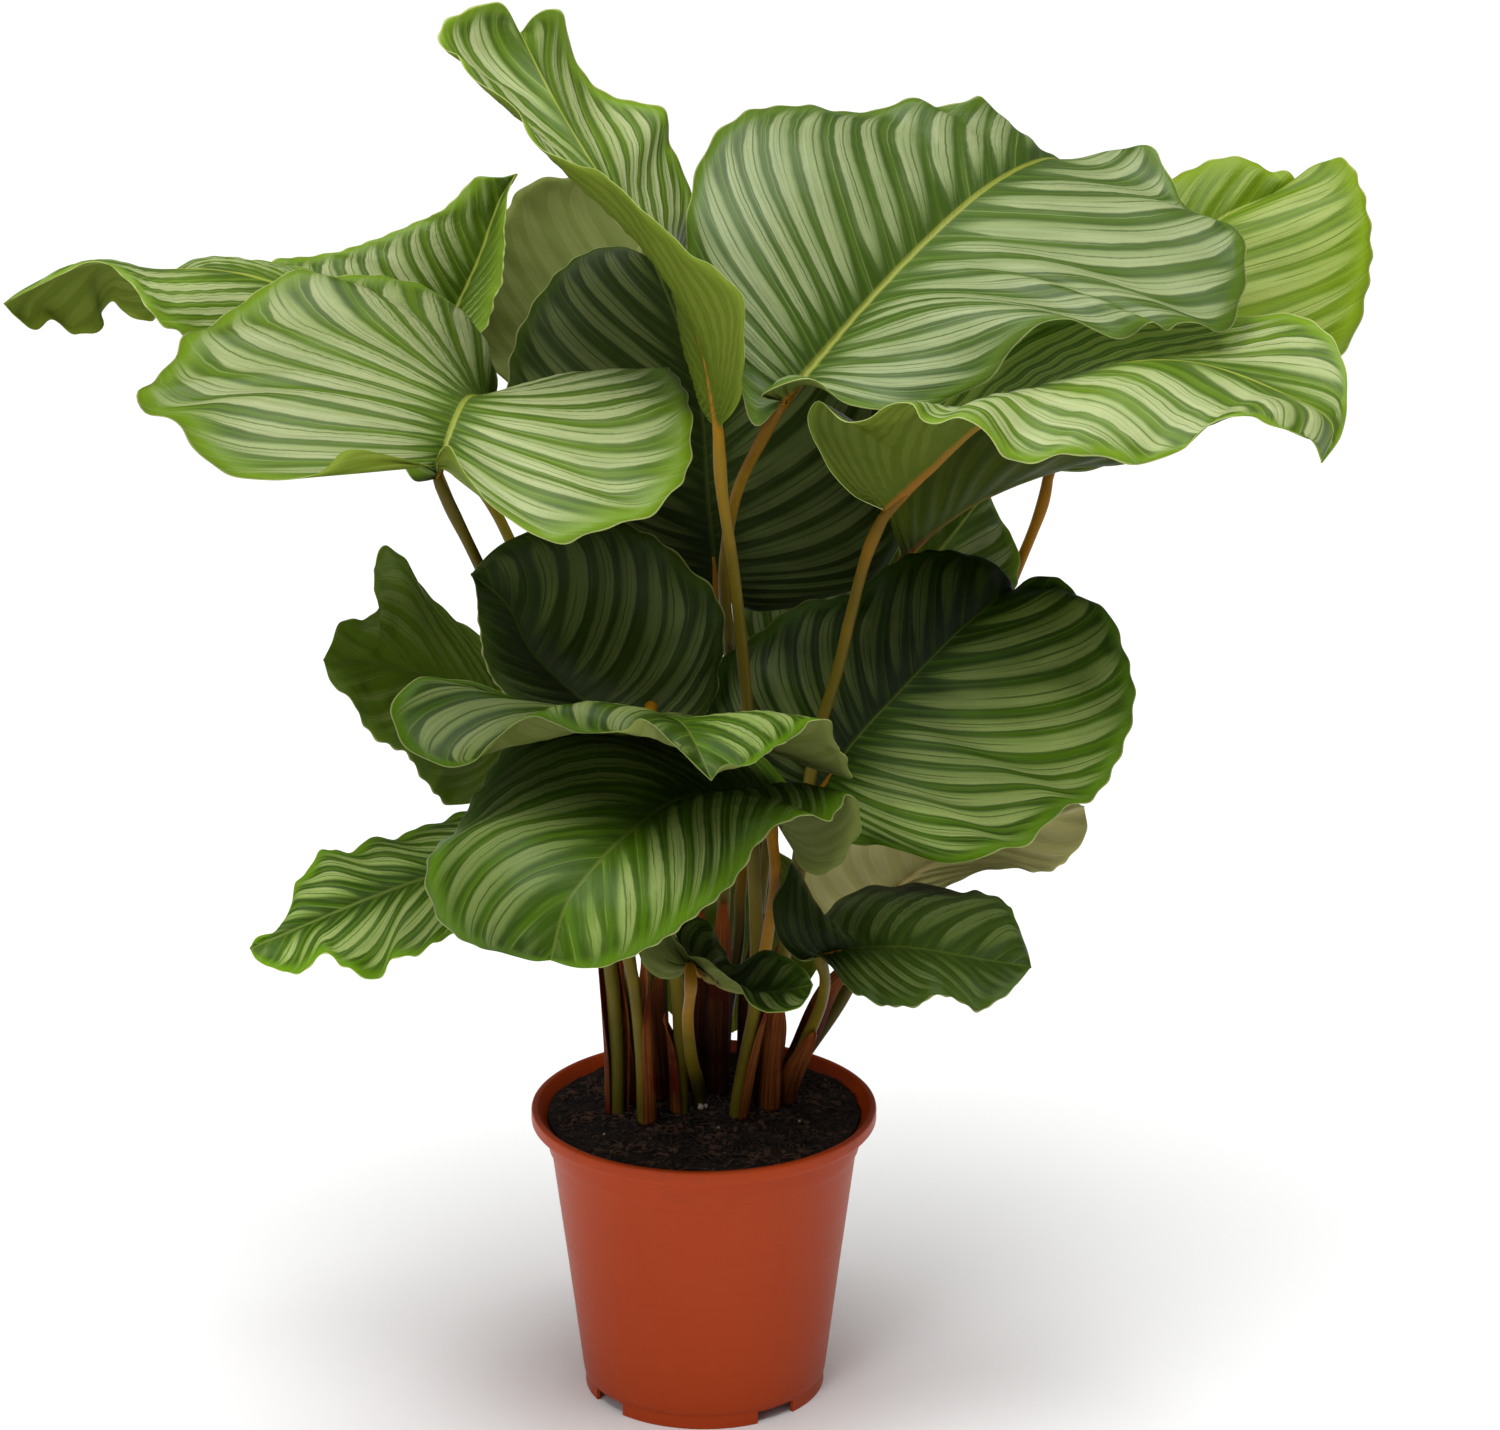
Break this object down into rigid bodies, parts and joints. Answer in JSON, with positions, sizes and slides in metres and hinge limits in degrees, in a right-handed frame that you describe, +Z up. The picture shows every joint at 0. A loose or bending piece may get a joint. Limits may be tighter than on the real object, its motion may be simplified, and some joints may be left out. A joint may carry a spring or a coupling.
{
  "type": "potted calathea",
  "caption": "Bushy potted calathea: rounded striped leaves on slim stalks rise from dark soil in a tapered terracotta-coloured nursery pot.",
  "frame": {"origin": "on the floor under the middle of the plant's overall box, on the pot's axis", "axes": "+Z up, -Y towards the viewer of the front, +X to that viewer's right"},
  "size_m": [0.8046, 0.4992, 0.8547],
  "materials": {
    "terracotta_plastic": "satin",
    "soil": "rough, moist, fibrous",
    "leaf": "satin, striped dark and silvery green",
    "stalk": "satin, smooth",
    "sheath": "dry and papery"
  },
  "bodies": {
    "root": {"pot": "terracotta_plastic", "soil": "soil", "blade_upper_right": "leaf", "stalk_upper_right": "stalk", "blade_far_right": "leaf", "stalk_far_right": "stalk", "blade_right_front": "leaf", "stalk_right_front": "stalk", "blade_right_inner": "leaf", "stalk_right_inner": "stalk", "blade_right_back": "leaf", "stalk_right_back": "stalk", "blade_top": "leaf", "stalk_top": "stalk", "blade_far_left": "leaf", "stalk_far_left": "stalk", "blade_left_back": "leaf", "stalk_left_back": "stalk", "blade_left_front": "leaf", "stalk_left_front": "stalk", "blade_centre_back": "leaf", "stalk_centre_back": "stalk", "blade_lower_right": "leaf", "stalk_lower_right": "stalk", "blade_centre_left": "leaf", "stalk_centre_left": "stalk", "blade_low_front": "leaf", "stalk_low_front": "stalk", "blade_mid_front": "leaf", "stalk_mid_front": "stalk", "blade_left_mid": "leaf", "stalk_left_mid": "stalk", "blade_low_left": "leaf", "stalk_low_left": "stalk", "blade_low_right": "leaf", "stalk_low_right": "stalk", "blade_low_right_back": "leaf", "stalk_low_right_back": "stalk", "blade_low_centre": "leaf", "stalk_low_centre": "stalk", "blade_low_back": "leaf", "stalk_low_back": "stalk", "blade_centre_rear": "leaf", "stalk_centre_rear": "stalk", "sheath_1": "sheath", "sheath_2": "sheath", "sheath_3": "sheath", "sheath_4": "sheath", "sheath_5": "sheath", "sheath_6": "sheath", "sheath_7": "sheath", "sheath_8": "sheath", "sheath_9": "sheath", "sheath_10": "sheath", "sheath_11": "sheath", "sheath_12": "sheath", "sheath_13": "sheath", "sheath_14": "sheath", "sheath_15": "sheath"}
  },
  "joints": []
}
